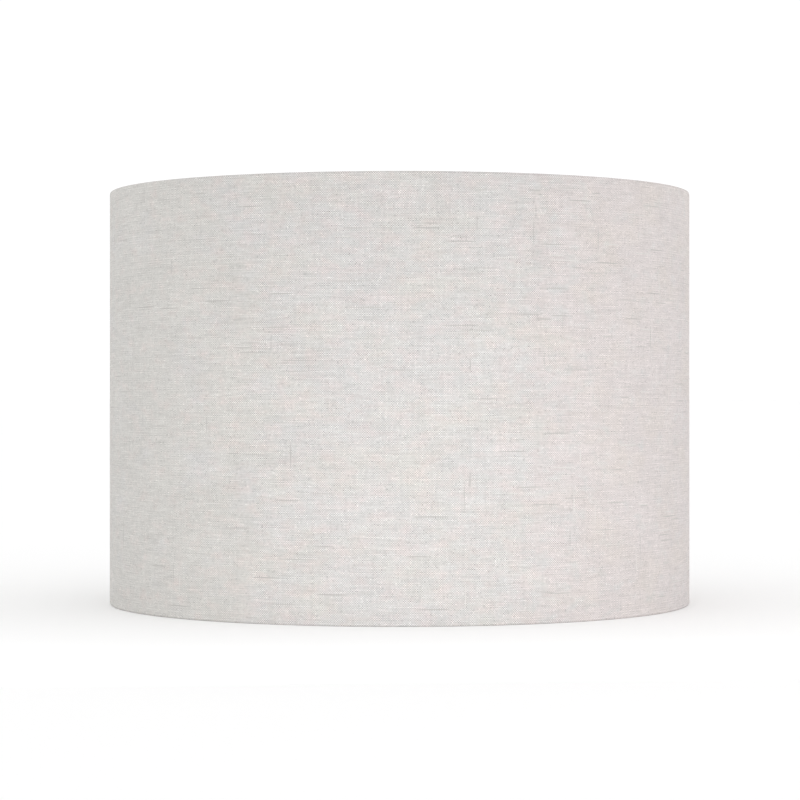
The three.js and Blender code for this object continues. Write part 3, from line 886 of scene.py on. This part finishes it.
def make_spoke(name, node, side):
    """A cranked wire with a domed head and a crimp at its inner end."""
    low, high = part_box("right_spoke")
    head_start, head_end = low.x, low.x + HEAD_LENGTH
    crimp_start = PIVOT_X + WIRE_RADIUS + CRIMP_GAP
    crimp_end = crimp_start + CRIMP_LENGTH
    head_radius = high.y
    corners = [
        (low.x, PIVOT.z), (high.x - SPOKE_CRANK_START, PIVOT.z),
        (high.x - SPOKE_CRANK_END, TOP_RING_Z), (high.x, TOP_RING_Z),
    ]
    line = rounded([Vector((x, 0.0, z)) for x, z in corners], SPOKE_BEND, steps=10)
    points = spaced(line, 0.3 * MM)
    widths, flats = [], []
    for p in points:
        head = 1 - smooth_step(p.x, head_end - 0.2 * MM, head_end + 0.1 * MM)
        dome = math.sqrt(max(0.12, min(1.0, 1 - (1 - (p.x - head_start) / DOME_LENGTH) ** 2)))
        if p.x > head_start + DOME_LENGTH:
            dome = 1.0
        crimp = smooth_step(p.x, crimp_start, crimp_start + CRIMP_RAMP)
        crimp *= 1 - smooth_step(p.x, crimp_end - CRIMP_RAMP, crimp_end)
        width = WIRE_RADIUS + (head_radius - WIRE_RADIUS) * max(head, crimp)
        widths.append(width * dome)
        flats.append(1 + (CRIMP_HALF_HEIGHT / head_radius - 1) * crimp)
    turned = [Vector((side * p.x, side * p.y, p.z)) for p in points]
    return place_piece(wire_piece(name, turned, COATED, widths, flats), "shade", "coated_wire", node)


def make_bail(name, node, side):
    """A wire that closes in an eye round the spoke, and runs down and in to its foot under the ring."""
    low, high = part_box("right_bail_wire")
    eye_radius = high.z - PIVOT.z - WIRE_RADIUS
    foot_z = low.z + WIRE_RADIUS
    ring_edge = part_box("carrier_ring")[1].x
    corners = [
        Vector((low.x, 0.0, foot_z)),
        Vector((ring_edge + BAIL_FOOT_RUN, 0.0, foot_z)),
        Vector((PIVOT_X, 0.0, PIVOT.z - eye_radius - BAIL_NECK)),
        Vector((PIVOT_X, 0.0, PIVOT.z - eye_radius - EYE_BLEND)),
    ]
    leg = rounded(corners, BAIL_BEND, steps=10)
    eye = []
    for k in range(41):
        angle = math.radians(-38 + 262 * k / 40)
        eye.append(Vector((PIVOT_X, eye_radius * math.cos(angle), PIVOT.z + eye_radius * math.sin(angle))))
    start, end = leg[-1], eye[0]
    up = Vector((0.0, 0.0, 1.0)) * EYE_BLEND
    along = (eye[1] - eye[0]).normalized() * EYE_BLEND
    bend = []
    for k in range(1, 8):
        s = k / 8
        bend.append(
            start * (1 - s) ** 3 + (start + up) * 3 * s * (1 - s) ** 2
            + (end - along) * 3 * s * s * (1 - s) + end * s ** 3
        )
    points = spaced(leg, 0.6 * MM) + bend + eye
    turned = [Vector((side * p.x, side * p.y, p.z)) for p in points]
    return place_piece(wire_piece(name, turned, COATED), "gimbal", "coated_wire", node)


def collar(name, outline, material):
    """A closed outline of (distance, height), turned once round the axis."""
    return sweep(name, section_mesh(name + "_section", outline), material, steps=160)


def make_carrier():
    """A ring pressed from sheet, with its inner edge turned down."""
    low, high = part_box("carrier_ring")
    bore = high.x - CARRIER_RIM
    sheet = CARRIER_SHEET
    corners = [
        (bore, low.z), (bore + sheet, low.z), (bore + sheet, high.z - sheet), (high.x, high.z - sheet),
        (high.x, high.z), (bore, high.z),
    ]
    outline = rounded(corners, 0.45 * MM, steps=4, closed=True)
    return place_piece(collar("fitter_ring", outline, COATED), "gimbal", "coated_wire", "carrier_ring")


def prism(name, profile, width):
    """A flat plate on the X axis. Its profile is drawn clockwise in (distance, height)."""
    count = len(profile)
    near = [(x, width / 2, z) for x, z in profile]
    far = [(x, -width / 2, z) for x, z in profile]
    faces = [tuple(range(count)), tuple(range(2 * count - 1, count - 1, -1))]
    for i in range(count):
        j = (i + 1) % count
        faces.append((j, i, count + i, count + j))
    mesh = bpy.data.meshes.new(name)
    mesh.from_pydata(near + far, [], faces)
    return mesh


def make_reducer():
    """A moulded ring with a flange, a spigot, and small ribs in the corner between them."""
    low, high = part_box("reducer_ring")
    hole = REDUCER_HOLE
    seat = high.z - REDUCER_WALL
    spigot_in, spigot_out = REDUCER_SPIGOT - REDUCER_WALL, REDUCER_SPIGOT
    corners = [
        (hole, seat), (spigot_in, seat), (spigot_in, low.z), (spigot_out, low.z), (spigot_out, seat),
        (high.x, seat), (high.x, high.z), (hole, high.z),
    ]
    ring = collar("lampholder_reducer", rounded(corners, 0.3 * MM, steps=4, closed=True), MOULDED)
    rib_low = low.z + RIB_CLEAR
    profile = [
        (spigot_in + RIB_SINK, seat + RIB_SINK), (spigot_in + RIB_SINK, rib_low),
        (spigot_in - 0.3 * MM, rib_low), (hole + 1.2 * MM, seat + RIB_SINK),
    ]
    ribs = RIBS.make("ribs", prism("rib", profile, RIB_WIDTH), MOULDED, Count=RIB_COUNT)
    return place_piece(joined(ring, ribs), "reducer", "moulded_ring", "reducer_ring")


def make_welds(name, body, spots, seed):
    """Beads at spots, which are pairs of a place and a stretch."""
    mesh = bpy.data.meshes.new(name + "_spots")
    mesh.from_pydata([place for place, _ in spots], [], [])
    stretch = mesh.attributes.new("stretch", "FLOAT_VECTOR", "POINT")
    stretch.data.foreach_set("vector", [x for _, shape in spots for x in shape])
    beads = BEADS.make(name, mesh, COATED, Radius=1.0 * MM, Lumps=0.5 * MM, Seed=seed)
    return place_piece(beads, body, "coated_wire")


def make_all_welds():
    spoke_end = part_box("right_spoke")[1].x
    spokes = [((side * (spoke_end - 0.3 * MM), 0.0, TOP_RING_Z - 0.2 * MM), (0.9, 1.4, 1.4))
              for side in (1, -1)]
    make_welds("spoke_welds", "shade", spokes, 3)
    foot_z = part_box("right_bail_wire")[0].z + 1.9 * WIRE_RADIUS
    foot_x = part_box("carrier_ring")[1].x - 2.2 * MM
    feet = [((side * foot_x, y * MM, foot_z), (1.9, 0.55, 0.55)) for side in (1, -1) for y in (-0.85, 0.85)]
    make_welds("bail_welds", "gimbal", feet, 8)


cloth_cover, flat_size = make_cover()
weft_slubs = make_slubs(
    "weft_slubs", density=1500.0, length=12 * MM, width=0.38 * MM, seed=11, upright=False,
)
warp_slubs = make_slubs(
    "warp_slubs", density=350.0, length=9 * MM, width=0.36 * MM, seed=23, upright=True,
)
make_panel()
make_seam_tape()
make_ring("upper_ring_wire", "top_ring", "upper_edge_tape", "top_ring_tape", TOP_RING_Z, 1)
make_ring("lower_ring_wire", "bottom_ring", "lower_edge_tape", "bottom_ring_tape", BOTTOM_RING_Z, -1)
for side_name, side in (("right", 1), ("left", -1)):
    make_spoke(side_name + "_spoke_wire", side_name + "_spoke", side)
    make_bail(side_name + "_bail_loop", side_name + "_bail_wire", side)
make_carrier()
make_reducer()
make_all_welds()


# ---------------------------------------------------------------- studio

WORLD_STRENGTH = 1.05
FLOOR_REACH = 60.0
LENS, SENSOR_WIDTH = 117.8, 36.0  # millimetres
LENS_SHIFT = (0.0005, -0.0080)
CAMERA_DISTANCE = 9.089 * DRUM_RADIUS
CAMERA_HEIGHT = DRUM_HEIGHT / 2 + 0.0162 * DRUM_RADIUS


def make_floor():
    """A wide pale floor, with a faint tone to it."""
    f = Finish("studio_floor", Roughness=0.9)
    cloud = f.noise(f.object_place(), 1.5)
    f.feed(f.shader.inputs["Base Color"], f.mix(cloud, (0.95, 0.95, 0.95, 1.0), (0.965, 0.965, 0.965, 1.0)))
    reach = FLOOR_REACH
    mesh = bpy.data.meshes.new("floor")
    mesh.from_pydata([(-reach, -reach, 0), (reach, -reach, 0), (reach, reach, 0), (-reach, reach, 0)], [],
                     [(0, 1, 2, 3)])
    mesh.materials.append(f.material)
    floor = bpy.data.objects.new("studio_floor", mesh)
    bpy.context.scene.collection.objects.link(floor)


def make_world(strength):
    world = bpy.data.worlds.new("studio")
    bpy.context.scene.world = world
    world.use_nodes = True
    background = world.node_tree.nodes["Background"]
    background.inputs["Color"].default_value = (1.0, 1.0, 1.0, 1.0)
    background.inputs["Strength"].default_value = strength


def make_area_light(name, place, size, power, aim):
    data = bpy.data.lights.new(name, "AREA")
    data.shape = "RECTANGLE"
    data.size, data.size_y = size
    data.energy = power
    light = bpy.data.objects.new(name, data)
    light.location = place
    light.visible_camera = False
    light.rotation_mode = "QUATERNION"
    light.rotation_quaternion = (Vector(aim) - Vector(place)).to_track_quat("-Z", "Y")
    bpy.context.scene.collection.objects.link(light)


def make_camera():
    """Level camera, a little above the middle of the shade."""
    data = bpy.data.cameras.new("camera")
    data.sensor_width = SENSOR_WIDTH
    data.lens = LENS
    data.shift_x, data.shift_y = LENS_SHIFT
    camera = bpy.data.objects.new("camera", data)
    camera.location = (0.0, -CAMERA_DISTANCE, CAMERA_HEIGHT)
    camera.rotation_euler = (math.pi / 2, 0.0, 0.0)
    bpy.context.scene.collection.objects.link(camera)
    bpy.context.scene.camera = camera


make_floor()
make_world(WORLD_STRENGTH)
make_area_light(
    "low_fill", place=(0.10, -0.50, 0.02), size=(1.0, 0.03), power=0.62, aim=(0.05, 0.0, 0.02),
)
make_area_light(
    "side_fill", place=(1.3, -0.5, 0.3), size=(0.8, 0.8), power=0.8, aim=(0.0, 0.0, 0.10),
)
make_camera()
bpy.context.scene.view_settings.view_transform = "Standard"
